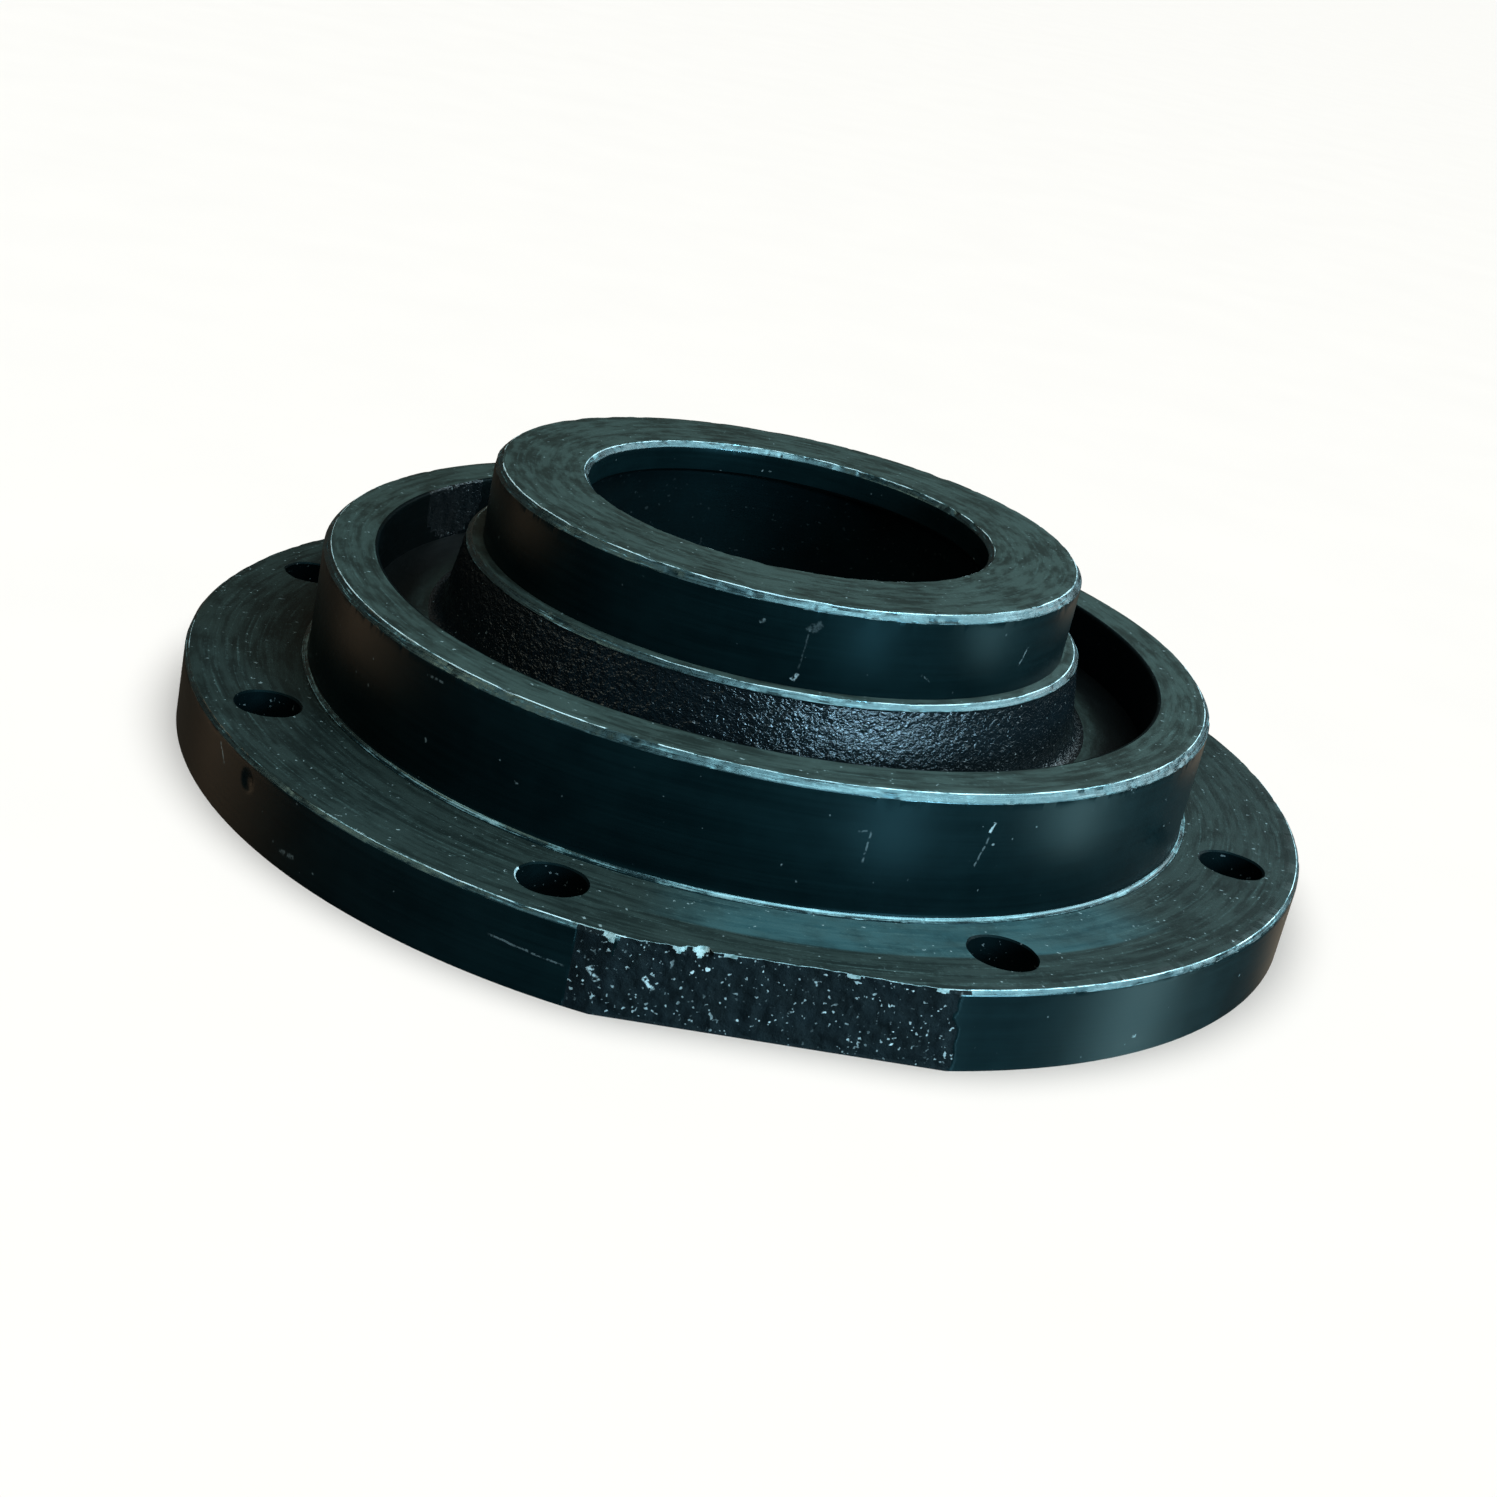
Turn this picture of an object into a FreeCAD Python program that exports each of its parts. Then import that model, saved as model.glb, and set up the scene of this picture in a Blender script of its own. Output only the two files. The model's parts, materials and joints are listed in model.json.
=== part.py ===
import FreeCAD, Part

import math
import os

import Sketcher
from FreeCAD import Vector

# Stepped neck flange, in millimetres.
# Z is the bore axis, +Z points towards the nose, and the origin is the centre of the underside.
# The flat on the rim faces -Y, midway between two bolt holes.

DRIVING_DIMENSIONS = {
    # flange plate
    "plate_radius": 125.0,
    "plate_thickness": 16.5,
    "hub_opening_radius": 60.0,
    "seat_depth": 1.0,
    "bolt_circle_radius": 111.0,
    "bolt_hole_diameter": 13.5,
    "bolt_hole_count": 8,
    "flat_distance_at_top": 121.2,
    "rim_chamfer": 0.8,
    "flat_distance_at_underside": 120.6,
    # pilot ring
    "ring_outer_radius": 98.5,
    "ring_inner_radius": 86.75,
    "ring_top": 42.5,
    "ring_foot_radius": 1.2,
    "ring_foot_land": 0.2,
    # cast hub
    "groove_floor": 29.5,
    "neck_foot_radius": 71.5,
    "neck_top_radius": 68.25,
    "neck_top": 47.5,
    "neck_foot_fillet": 3.0,
    "register_radius": 56.0,
    "register_depth": 4.0,
    # nose ring
    "nose_radius": 64.75,
    "nose_top": 65.0,
    "lip_radius": 44.25,
    "lip_underside": 57.8,
    # shared by the hub and the nose ring
    "seat_radius": 48.0,
    # edges
    "edge_chamfer": 1.4,
    "inner_chamfer": 0.8,
    "ledge_chamfer": 1.0,
    "mouth_chamfer": 1.1,
}

TOUCH = 1e-3            # two lengths closer than this are the same length
OUTSIDE_MARGIN = 10.0   # how far a cutting outline reaches past the plate

document = FreeCAD.newDocument("stepped_neck_flange")


def make_sheet():
    """Write the driving dimensions into a spreadsheet, one alias for each."""
    sheet = document.addObject("Spreadsheet::Sheet", "Dimensions")
    for row, (alias, value) in enumerate(DRIVING_DIMENSIONS.items(), start=1):
        sheet.set(f"A{row}", alias)
        sheet.set(f"B{row}", str(value))
        sheet.setAlias(f"B{row}", alias)
    document.recompute()
    return sheet


def cell(alias):
    """The expression that reads one driving dimension."""
    return f"Dimensions.{alias}"


# places that two sub-parts share, as expressions
SEAT_FLOOR = f"{cell('plate_thickness')} - {cell('seat_depth')}"
RING_FOOT_EDGE = f"{cell('ring_outer_radius')} + {cell('ring_foot_radius')} + {cell('ring_foot_land')}"
REGISTER_FLOOR = f"{cell('neck_top')} - {cell('register_depth')}"


def value(alias):
    """The number that one driving dimension has now."""
    return float(dimensions.get(alias))


def origin_plane(body, role):
    """One of a body's own origin planes."""
    return next(plane for plane in body.Origin.OriginFeatures if plane.Role == role)


def new_body(name):
    """A body with its own label, standing at the document's origin."""
    body = document.addObject("PartDesign::Body", name)
    body.Label = name
    body.Placement = FreeCAD.Placement()
    return body


def new_sketch(body, name, role):
    """A sketch on one of the body's origin planes."""
    sketch = body.newObject("Sketcher::SketchObject", name)
    sketch.AttachmentSupport = [(origin_plane(body, role), "")]
    sketch.MapMode = "FlatFace"
    return sketch


def evaluate(expression):
    """The number that an expression of driving dimensions has now."""
    return float(dimensions.evalExpression(expression))


def draw_outline(sketch, corners):
    """Close an outline through corners given as pairs of expressions, and bind each corner."""
    points = [Vector(evaluate(across), evaluate(up), 0) for across, up in corners]
    count = len(points)
    for index, start in enumerate(points):
        sketch.addGeometry(Part.LineSegment(start, points[(index + 1) % count]), False)
    for index in range(count):
        sketch.addConstraint(Sketcher.Constraint("Coincident", index, 2, (index + 1) % count, 1))
    for index, (across, up) in enumerate(corners):
        for kind, position, expression in (
            ("DistanceX", points[index].x, across),
            ("DistanceY", points[index].y, up),
        ):
            if abs(position) < TOUCH:
                axis = -2 if kind == "DistanceX" else -1
                sketch.addConstraint(Sketcher.Constraint("PointOnObject", index, 1, axis))
                continue
            number = sketch.addConstraint(Sketcher.Constraint(kind, -1, 1, index, 1, position))
            sketch.setExpression(f"Constraints[{number}]", expression)


def turn(body, name, corners):
    """Turn an outline of (radius, height) corners about the bore axis."""
    sketch = new_sketch(body, f"{name}_outline", "XZ_Plane")
    draw_outline(sketch, corners)
    turned = body.newObject("PartDesign::Revolution", name)
    turned.Profile = sketch
    turned.ReferenceAxis = (sketch, ["V_Axis"])
    turned.Angle = 360.0
    document.recompute()
    return turned


def circular_edges(feature, radius, height):
    """The names of a feature's circular edges about the bore axis at one radius and height."""
    names = []
    for number, edge in enumerate(feature.Shape.Edges, start=1):
        curve = edge.Curve
        if not isinstance(curve, Part.Circle):
            continue
        on_axis = abs(curve.Center.x) < TOUCH and abs(curve.Center.y) < TOUCH
        same_height = abs(curve.Center.z - height) < TOUCH
        if on_axis and same_height and abs(curve.Radius - radius) < TOUCH:
            names.append(f"Edge{number}")
    if not names:
        raise ValueError(f"{feature.Name} has no edge of radius {radius} at height {height}")
    return names


def dress(body, kind, name, places, size):
    """Chamfer or fillet the circular edges of the body's tip at the given (radius, height)."""
    tip = body.Tip
    edges = []
    for radius, height in places:
        edges += circular_edges(tip, value(radius), evaluate(height))
    feature = body.newObject(f"PartDesign::{kind}", name)
    feature.Base = (tip, edges)
    feature.setExpression("Radius" if kind == "Fillet" else "Size", cell(size))
    document.recompute()
    return feature


def make_flange_plate():
    """The round plate: drilled, opened for the hub, and with one drafted flat on its rim.
    The ring and the hub's web sit in a shallow seat turned into its top."""
    body = new_body("flange_plate")
    turn(body, "plate_blank", [
        (cell("hub_opening_radius"), "0"),
        (cell("plate_radius"), "0"),
        (cell("plate_radius"), cell("plate_thickness")),
        (RING_FOOT_EDGE, cell("plate_thickness")),
        (RING_FOOT_EDGE, SEAT_FLOOR),
        (cell("hub_opening_radius"), SEAT_FLOOR),
    ])
    dress(body, "Chamfer", "rim_edge", [("plate_radius", cell("plate_thickness"))],
          "rim_chamfer")

    flat_outline = new_sketch(body, "flat_outline", "YZ_Plane")
    outside = f"-{cell('plate_radius')} - {OUTSIDE_MARGIN}"
    draw_outline(flat_outline, [
        (f"-{cell('flat_distance_at_underside')}", "0"),
        (f"-{cell('flat_distance_at_top')}", cell("plate_thickness")),
        (outside, cell("plate_thickness")),
        (outside, "0"),
    ])
    rim_flat = body.newObject("PartDesign::Pocket", "rim_flat")
    rim_flat.Profile = flat_outline
    rim_flat.Type = "ThroughAll"
    rim_flat.Midplane = True
    document.recompute()

    first_hole = new_sketch(body, "first_hole_centre", "XY_Plane")
    first_hole.setExpression("AttachmentOffset.Base.z", cell("plate_thickness"))
    reach = value("bolt_circle_radius")
    half_pitch = math.pi / value("bolt_hole_count")
    centre = Vector(reach * math.sin(half_pitch), -reach * math.cos(half_pitch), 0)
    width = value("bolt_hole_diameter")
    first_hole.addGeometry(Part.Circle(centre, Vector(0, 0, 1), width / 2), False)
    turned = f"(180 deg / {cell('bolt_hole_count')})"
    for constraint, expression in (
        (Sketcher.Constraint("DistanceX", -1, 1, 0, 3, centre.x),
         f"{cell('bolt_circle_radius')} * sin({turned})"),
        (Sketcher.Constraint("DistanceY", 0, 3, -1, 1, -centre.y),
         f"{cell('bolt_circle_radius')} * cos({turned})"),
        (Sketcher.Constraint("Diameter", 0, width), cell("bolt_hole_diameter")),
    ):
        number = first_hole.addConstraint(constraint)
        first_hole.setExpression(f"Constraints[{number}]", expression)
    document.recompute()

    bolt_hole = body.newObject("PartDesign::Hole", "bolt_hole")
    bolt_hole.Profile = first_hole
    bolt_hole.DepthType = "ThroughAll"
    bolt_hole.Threaded = False
    bolt_hole.setExpression("Diameter", cell("bolt_hole_diameter"))
    document.recompute()

    bolt_circle = body.newObject("PartDesign::PolarPattern", "bolt_circle")
    bolt_circle.Originals = [bolt_hole]
    bolt_circle.Axis = (first_hole, ["N_Axis"])
    bolt_circle.Angle = 360.0
    bolt_circle.setExpression("Occurrences", cell("bolt_hole_count"))
    body.Tip = bolt_circle
    document.recompute()
    return body


def make_pilot_ring():
    """The raised ring: chamfered at the top and flared at its foot by a small fillet."""
    body = new_body("pilot_ring")
    foot_top = f"{cell('plate_thickness')} + {cell('ring_foot_land')}"
    turn(body, "ring_blank", [
        (cell("ring_inner_radius"), SEAT_FLOOR),
        (RING_FOOT_EDGE, SEAT_FLOOR),
        (RING_FOOT_EDGE, foot_top),
        (cell("ring_outer_radius"), foot_top),
        (cell("ring_outer_radius"), cell("ring_top")),
        (cell("ring_inner_radius"), cell("ring_top")),
    ])
    dress(body, "Fillet", "ring_foot", [("ring_outer_radius", foot_top)], "ring_foot_radius")
    dress(body, "Chamfer", "ring_outer_edge", [("ring_outer_radius", cell("ring_top"))],
          "edge_chamfer")
    dress(body, "Chamfer", "ring_inner_edge", [("ring_inner_radius", cell("ring_top"))],
          "inner_chamfer")
    return body


def make_cast_hub():
    """The hub: a spigot in the plate, the web under the groove, and the drafted neck."""
    body = new_body("cast_hub")
    turn(body, "hub_blank", [
        (cell("seat_radius"), "0"),
        (cell("hub_opening_radius"), "0"),
        (cell("hub_opening_radius"), SEAT_FLOOR),
        (cell("ring_inner_radius"), SEAT_FLOOR),
        (cell("ring_inner_radius"), cell("groove_floor")),
        (cell("neck_foot_radius"), cell("groove_floor")),
        (cell("neck_top_radius"), cell("neck_top")),
        (cell("register_radius"), cell("neck_top")),
        (cell("register_radius"), REGISTER_FLOOR),
        (cell("seat_radius"), REGISTER_FLOOR),
    ])
    dress(body, "Fillet", "neck_foot", [("neck_foot_radius", cell("groove_floor"))],
          "neck_foot_fillet")
    dress(body, "Chamfer", "ledge_edge", [("neck_top_radius", cell("neck_top"))],
          "ledge_chamfer")
    dress(body, "Chamfer", "seat_entry", [("seat_radius", "0")], "inner_chamfer")
    return body


def make_nose_ring():
    """The turned nose: its register in the hub, the seat bore, and the lip at the mouth."""
    body = new_body("nose_ring")
    turn(body, "nose_blank", [
        (cell("seat_radius"), REGISTER_FLOOR),
        (cell("register_radius"), REGISTER_FLOOR),
        (cell("register_radius"), cell("neck_top")),
        (cell("nose_radius"), cell("neck_top")),
        (cell("nose_radius"), cell("nose_top")),
        (cell("lip_radius"), cell("nose_top")),
        (cell("lip_radius"), cell("lip_underside")),
        (cell("seat_radius"), cell("lip_underside")),
    ])
    dress(body, "Chamfer", "nose_edge", [("nose_radius", cell("nose_top"))], "edge_chamfer")
    dress(body, "Chamfer", "mouth_edge", [("lip_radius", cell("nose_top"))], "mouth_chamfer")
    dress(body, "Chamfer", "lip_edge", [("lip_radius", cell("lip_underside"))],
          "inner_chamfer")
    return body


def check_document():
    """Stop if any object of the document failed to compute."""
    for thing in document.Objects:
        if "Invalid" in thing.State or "Error" in thing.State:
            raise RuntimeError(f"{thing.Name} is {thing.State}")


def write_step(body):
    """Check one sub-part's shape and write it to its own file."""
    shape = body.Shape
    if shape.isNull() or not shape.isValid() or len(shape.Solids) != 1:
        raise RuntimeError(f"{body.Label} is not one valid solid")
    shape.exportStep(os.path.join("parts", f"{body.Label}.step"))
    print(f"{body.Label}: {shape.Volume / 1000:.1f} cm3, {len(shape.Faces)} faces")


dimensions = make_sheet()
bodies = [make_flange_plate(), make_pilot_ring(), make_cast_hub(), make_nose_ring()]
document.recompute()
check_document()
os.makedirs("parts", exist_ok=True)
for finished in bodies:
    write_step(finished)
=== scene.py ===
import json
import math

import bmesh
import bpy
import numpy as np
from mathutils import Matrix, Vector


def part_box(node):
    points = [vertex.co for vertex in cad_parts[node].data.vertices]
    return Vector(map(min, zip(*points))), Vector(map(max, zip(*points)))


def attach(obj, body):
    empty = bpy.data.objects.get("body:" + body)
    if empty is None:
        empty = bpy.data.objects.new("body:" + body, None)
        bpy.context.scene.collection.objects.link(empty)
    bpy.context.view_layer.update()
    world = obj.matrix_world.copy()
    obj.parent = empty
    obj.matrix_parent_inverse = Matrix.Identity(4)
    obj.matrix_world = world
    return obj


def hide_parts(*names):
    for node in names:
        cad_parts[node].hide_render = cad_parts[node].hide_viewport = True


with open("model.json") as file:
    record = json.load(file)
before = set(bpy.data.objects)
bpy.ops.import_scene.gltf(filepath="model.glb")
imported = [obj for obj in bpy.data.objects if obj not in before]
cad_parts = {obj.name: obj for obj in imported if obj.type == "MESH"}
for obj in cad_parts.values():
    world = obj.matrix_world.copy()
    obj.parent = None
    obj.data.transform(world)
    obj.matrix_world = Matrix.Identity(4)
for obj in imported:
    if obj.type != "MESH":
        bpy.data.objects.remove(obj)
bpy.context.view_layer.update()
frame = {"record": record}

MM = 0.001

# ---------------------------------------------------------------- sizes, in millimetres

mounts = {mount["name"]: mount for mount in frame["record"]["mounts"]}


def mount_size(name, key):
    """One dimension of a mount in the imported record."""
    return mounts[name]["dims"][key]


# a hair less than in the CAD model, so that rounding can't push the mesh out of the CAD box
PLATE_RADIUS = 124.99
PLATE_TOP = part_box("flange_plate")[1].z / MM
FLAT_AT_TOP = -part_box("flange_plate")[0].y / MM
FLAT_AT_UNDERSIDE = FLAT_AT_TOP - 0.6
HUB_OPENING = 60.0
BOLT_CIRCLE = mount_size("bolt_circle", "pcd_mm") / 2
BOLT_HOLE = mount_size("bolt_circle", "hole_r_mm")
BOLT_COUNT = mount_size("bolt_circle", "count")
RING_OUTER = mount_size("pilot_spigot", "r_mm")
RING_INNER = 86.75
RING_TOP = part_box("pilot_ring")[1].z / MM
RING_FOOT = 1.2
FOOT_LAND = 0.2
RING_FOOT_EDGE = RING_OUTER + RING_FOOT + FOOT_LAND
GROOVE_FLOOR = 29.5
SEAT_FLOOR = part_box("pilot_ring")[0].z / MM
NECK_FOOT = 71.5
NECK_SHOULDER = 68.25
NECK_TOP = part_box("cast_hub")[1].z / MM
NECK_FILLET = 3.0
REGISTER = 56.0
REGISTER_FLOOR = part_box("nose_ring")[0].z / MM
NOSE = mount_size("nose_spigot", "r_mm")
NOSE_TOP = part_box("nose_ring")[1].z / MM
LIP = mount_size("mouth_bore", "r_mm")
LIP_UNDERSIDE = 57.8
SEAT = mount_size("seat_bore", "r_mm")
EDGE = 1.4
RIM_EDGE = 0.8
INNER_EDGE = 0.8
LEDGE_EDGE = 1.0
MOUTH_EDGE = 1.1
ROUNDING = 0.14
HOLE_EDGE = 0.35

# angles here are in degrees. An azimuth is counted from the middle of the flat, which faces -Y,
# towards +X
FLAT_ANGLE = -90.0
FLAT_HALF_WIDTH = math.sqrt(PLATE_RADIUS ** 2 - FLAT_AT_UNDERSIDE ** 2)
HOLE_ANGLES = [FLAT_ANGLE + (index + 0.5) * 360.0 / BOLT_COUNT for index in range(BOLT_COUNT)]
BURRED_HOLE = BOLT_COUNT - 1

# how far the torn skin of the flat runs on past its left end, and the chips along its top edge:
# how deep they reach, with the x and half width of the biggest
TORN_PAST_END = 5.0
CHIP_DEPTH = 0.9
BIG_CHIP = -15.4
BIG_CHIP_DEPTH = 1.5
BIG_CHIP_REACH = 1.9
# the rough patch inside the ring: azimuth, height and reach
PATCH_AZIMUTH = -123.0
PATCH_HEIGHT = 39.0
PATCH_REACH = 13.0
# the dent in the left of the rim: azimuth, height, reach and depth
DENT_AZIMUTH = -54.9
DENT_HEIGHT = 12.0
DENT_REACH = 2.6
DENT_DEPTH = 0.5
# the deepest nicks in the chamfers of the nose and ring, of the rim and of the ledge
TOP_NICKS = 0.42
RIM_NICKS = 0.30
LEDGE_NICKS = 0.25

# steps round the axis. On the plate they are closer together within so many degrees of the flat
NOSE_STEPS = 1000
HUB_STEPS = 1260
RING_STEPS = 1200
FLAT_SPREAD = 19.0
FLAT_STEPS = 300
RIM_STEPS = 1150
HOLE_STEPS = 96


# ---------------------------------------------------------------- noise for the meshes

def hashed(cells, seed):
    """A repeatable number from 0 to 1 for each whole-number cell."""
    x, y, z = (cells[..., axis].astype(np.int64) for axis in range(3))
    mixed = (x * 73856093) ^ (y * 19349663) ^ (z * 83492791) ^ (seed * 2654435761)
    mixed = (mixed ^ (mixed >> 13)) * 1274126177
    mixed = (mixed ^ (mixed >> 16)) & 0xFFFFFF
    return mixed / float(0xFFFFFF)


def grain(points, size, seed):
    """Smooth noise from -1 to 1 whose bumps are about size across."""
    scaled = points / size
    cells = np.floor(scaled)
    inside = scaled - cells
    weight = inside * inside * (3.0 - 2.0 * inside)
    total = np.zeros(points.shape[:-1])
    for corner in np.ndindex(2, 2, 2):
        share = np.ones(points.shape[:-1])
        for axis in range(3):
            share = share * (weight[..., axis] if corner[axis] else 1.0 - weight[..., axis])
        total += share * hashed(cells + np.array(corner), seed)
    return total * 2.0 - 1.0


def layered(points, size, seed, layers=3, keep=0.5):
    """Noise made of several sizes of bump, each smaller and fainter than the last."""
    total, strength, scale = np.zeros(points.shape[:-1]), 1.0, size
    for layer in range(layers):
        total += strength * grain(points, scale, seed + layer)
        strength *= keep
        scale *= 0.5
    return total


def ease(low, high, value):
    """0 below low, 1 above high, and a smooth rise between."""
    share = np.clip((value - low) / (high - low), 0.0, 1.0)
    return share * share * (3.0 - 2.0 * share)


# ---------------------------------------------------------------- turned meshes

def place(angle, radius, height):
    """Points in millimetres, from an angle in radians."""
    return np.stack([radius * np.cos(angle), radius * np.sin(angle), height], axis=-1)


def wall_point(azimuth, radius, height):
    """One point in millimetres, from an azimuth in degrees."""
    turn = math.radians(FLAT_ANGLE + azimuth)
    return np.array([radius * math.cos(turn), radius * math.sin(turn), height])


class Outline:
    """A closed outline of (radius, height) points, whose stretches each carry one skin."""

    def __init__(self, radius, height):
        self.points = [(radius, height)]
        self.skins = []

    def to(self, radius, height, skin, rows=1):
        """A straight stretch in so many rows."""
        start_radius, start_height = self.points[-1]
        for row in range(1, rows + 1):
            share = row / rows
            self.points.append((start_radius + (radius - start_radius) * share,
                                start_height + (height - start_height) * share))
            self.skins.append(skin)

    def around(self, centre_radius, centre_height, radius, start, end, skin, rows):
        """A round stretch about a centre, from one angle in degrees to another."""
        for row in range(1, rows + 1):
            angle = math.radians(start + (end - start) * row / rows)
            self.points.append((centre_radius + radius * math.cos(angle),
                                centre_height + radius * math.sin(angle)))
            self.skins.append(skin)

    def bend(self, corner, end, skin, rows=3):
        """A small worn curve from the last point to the end, drawn towards the corner."""
        start = Vector(self.points[-1])
        for row in range(1, rows + 1):
            share = row / rows
            point = start.lerp(corner, share).lerp(corner.lerp(end, share), share)
            self.points.append(tuple(point))
            self.skins.append(skin)

    def chamfer(self, first, second, beyond, skin, rows, across=3,
                corners=("worn_edge", "edge_line")):
        """A stretch up to a chamfer from first to second, then the worn chamfer itself with both
        its corners rounded. Beyond is where the outline goes next."""
        last, first, second, beyond = map(Vector, (self.points[-1], first, second, beyond))
        over = (second - first).normalized() * ROUNDING
        self.to(*(first + (last - first).normalized() * ROUNDING), skin, rows)
        self.bend(first, first + over, corners[0])
        self.to(*(second - over), "worn_edge", across)
        self.bend(second, second + (beyond - second).normalized() * ROUNDING, corners[1])

    def close(self, skin, rows=1):
        """Back to the first point."""
        self.to(*self.points[0], skin, rows)
        self.points.pop()


def even_angles(steps):
    """Angles in radians, evenly round the axis, from the flat's angle."""
    return math.radians(FLAT_ANGLE) + np.arange(steps) * 2.0 * math.pi / steps


def turned_mesh(name, outline, angles, skins, shape):
    """Turn an outline about Z. shape(angle, radius, height, depth) moves each point, and
    depth is the direction into the metal as a (radius, height) pair."""
    rows, columns = len(outline.points), len(angles)
    profile = np.array(outline.points)
    along = np.roll(profile, -1, axis=0) - np.roll(profile, 1, axis=0)
    along /= np.linalg.norm(along, axis=1)[:, None]
    depth = np.stack([-along[:, 1], along[:, 0]], axis=1)
    angle = np.broadcast_to(angles[None, :], (rows, columns))
    radius = np.broadcast_to(profile[:, :1], (rows, columns)).copy()
    height = np.broadcast_to(profile[:, 1:], (rows, columns)).copy()
    radius, height = shape(angle, radius, height, depth)
    points = place(angle, radius, height) * MM
    corner = np.arange(rows * columns).reshape(rows, columns)
    over = np.roll(corner, -1, axis=0)
    faces = np.stack([corner, np.roll(corner, -1, axis=1), np.roll(over, -1, axis=1), over],
                     axis=-1).reshape(-1, 4)
    mesh = bpy.data.meshes.new(name)
    mesh.from_pydata(points.reshape(-1, 3).tolist(), [], faces.tolist())
    for skin in skins:
        mesh.materials.append(materials[skin])
    index = np.repeat([skins.index(skin) for skin in outline.skins], columns)
    mesh.polygons.foreach_set("material_index", index.astype(np.int32))
    mesh.update()
    return mesh


def finish_piece(name, mesh, node):
    """Put a mesh in the scene in place of its CAD node."""
    mesh.polygons.foreach_set("use_smooth", [True] * len(mesh.polygons))
    mesh.set_sharp_from_angle(angle=math.radians(32.0))
    piece = bpy.data.objects.new(name, mesh)
    bpy.context.scene.collection.objects.link(piece)
    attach(piece, "root")
    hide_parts(node)
    return piece


# ---------------------------------------------------------------- materials

class Shading:
    """A material's node tree, with short ways to add to it."""

    def __init__(self, name):
        self.material = bpy.data.materials.new(name)
        self.material.use_nodes = True
        self.tree = self.material.node_tree
        self.shader = self.tree.nodes["Principled BSDF"]
        coordinates = self.add("ShaderNodeTexCoord").outputs["Object"]
        self.point = self.vector("SCALE", coordinates, scale=1.0 / MM)
        x, y, self.height = self.split(self.point)
        self.radius = self.math("SQRT", self.math("ADD", self.math("MULTIPLY", x, x),
                                                  self.math("MULTIPLY", y, y)))
        self.east = self.math("DIVIDE", x, self.radius)
        self.north = self.math("DIVIDE", y, self.radius)
        self.profile = self.math("ADD", self.radius, self.height)
        lean = self.math("MULTIPLY", self.height, 0.3)
        self.edge_profile = self.math("SUBTRACT", self.radius, lean)

    def add(self, kind, **settings):
        """A new node with some of its properties set."""
        node = self.tree.nodes.new(kind)
        for key, value in settings.items():
            setattr(node, key, value)
        return node

    def feed(self, socket, value):
        """Link a socket to another one, or give it a value."""
        if isinstance(value, bpy.types.NodeSocket):
            self.tree.links.new(value, socket)
        else:
            socket.default_value = value

    def math(self, operation, *values):
        """The result of an operation on numbers."""
        node = self.add("ShaderNodeMath", operation=operation)
        for socket, value in zip(node.inputs, values):
            self.feed(socket, value)
        return node.outputs[0]

    def vector(self, operation, *values, scale=None):
        """The result of an operation on vectors."""
        node = self.add("ShaderNodeVectorMath", operation=operation)
        for socket, value in zip(node.inputs, values):
            self.feed(socket, value)
        if scale is not None:
            self.feed(node.inputs["Scale"], scale)
        return node.outputs[0]

    def split(self, vector):
        """The x, y and z of a vector."""
        node = self.add("ShaderNodeSeparateXYZ")
        self.feed(node.inputs[0], vector)
        return node.outputs

    def join(self, x, y, z):
        """A vector from its x, y and z."""
        node = self.add("ShaderNodeCombineXYZ")
        for socket, value in zip(node.inputs, (x, y, z)):
            self.feed(socket, value)
        return node.outputs[0]

    def noise(self, size, vector=None, detail=2.0, roughness=0.5, distortion=0.0):
        """Noise from 0 to 1 whose bumps are about size millimetres across."""
        node = self.add("ShaderNodeTexNoise")
        self.feed(node.inputs["Vector"], self.point if vector is None else vector)
        self.feed(node.inputs["Scale"], 1.0 / size)
        self.feed(node.inputs["Detail"], detail)
        self.feed(node.inputs["Roughness"], roughness)
        self.feed(node.inputs["Distortion"], distortion)
        return node.outputs["Fac"]

    def flecks(self, size, level):
        """1 on ragged flecks, where a noise of this size rises above a level."""
        return self.rise(self.noise(size, detail=1.0, roughness=0.4), level - 0.02, level + 0.04)

    def along(self, offset, direction):
        """How far an offset reaches in a direction."""
        node = self.add("ShaderNodeVectorMath", operation="DOT_PRODUCT")
        self.feed(node.inputs[0], offset)
        self.feed(node.inputs[1], direction)
        return node.outputs["Value"]

    def stroke(self, spot, run, out, length, width):
        """1 on a ragged stroke of this length and width, centred on a spot of the surface,
        whose direction is run and whose outward direction is out."""
        offset = self.vector("SUBTRACT", self.point, spot)
        wander = self.math("SUBTRACT", self.noise(1.8, detail=3.0, roughness=0.6), 0.5)
        ragged = self.math("MULTIPLY", wander, width * 1.8)
        aside = self.math("ADD", self.along(offset, run.cross(out)), ragged)
        inside = self.rise(self.math("ABSOLUTE", aside), width * 0.6, width * 0.3)
        lengthways = self.math("ABSOLUTE", self.along(offset, run))
        within = self.rise(lengthways, length * 0.5, length * 0.4)
        near = self.rise(self.math("ABSOLUTE", self.along(offset, out)), 8.0, 7.0)
        broken = self.rise(self.noise(0.9, detail=2.0), 0.38, 0.58)
        return self.math("MULTIPLY", self.math("MULTIPLY", inside, within),
                         self.math("MULTIPLY", near, broken))

    def wall_stroke(self, azimuth, radius, height, length, width, tilt):
        """A stroke on a turned wall, with its azimuth and its tilt from level in degrees."""
        turn, lean = math.radians(FLAT_ANGLE + azimuth), math.radians(tilt)
        out = Vector((math.cos(turn), math.sin(turn), 0.0))
        side = Vector((-math.sin(turn), math.cos(turn), 0.0))
        run = side * math.cos(lean) + Vector((0.0, 0.0, math.sin(lean)))
        return self.stroke(out * radius + Vector((0.0, 0.0, height)), run, out, length, width)

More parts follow.
